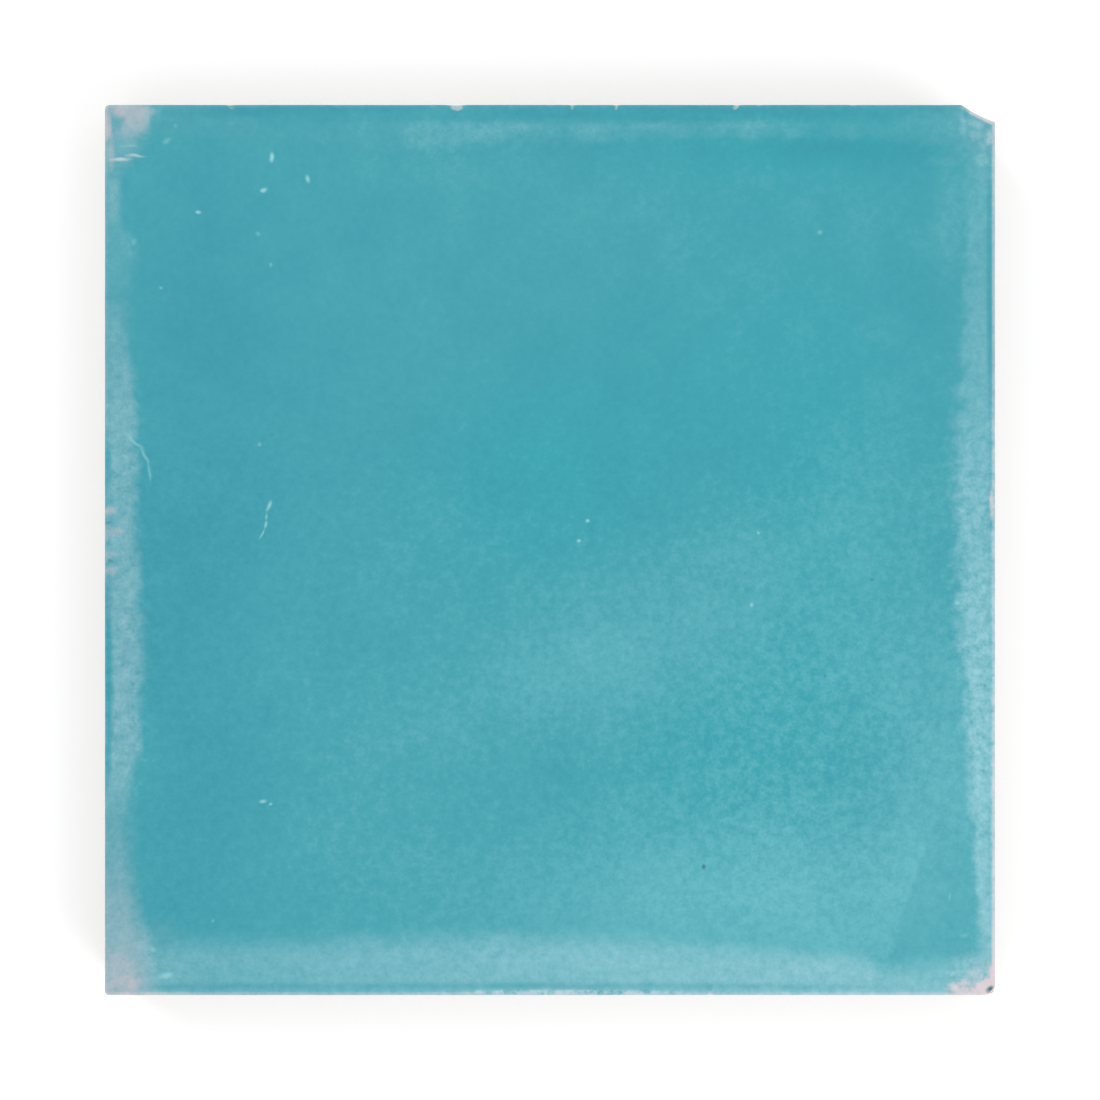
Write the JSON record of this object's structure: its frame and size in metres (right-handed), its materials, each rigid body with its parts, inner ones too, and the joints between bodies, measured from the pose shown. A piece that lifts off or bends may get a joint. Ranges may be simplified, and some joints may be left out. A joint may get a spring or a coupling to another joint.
{
  "type": "cement tile",
  "caption": "Square pressed cement tile with a plain turquoise face, eased edges, a broken corner and a shallow keyed back for adhesive.",
  "frame": {"origin": "middle of the tile's back, on the plane that its rim and keys rest on", "axes": "+Z out of the coloured face, +X and +Y along the sides, with the broken corner at +X +Y"},
  "size_m": [0.2, 0.2, 0.016],
  "materials": {
    "pigmented_cement": "satin"
  },
  "bodies": {
    "root": {"tile": "pigmented_cement"}
  },
  "joints": []
}
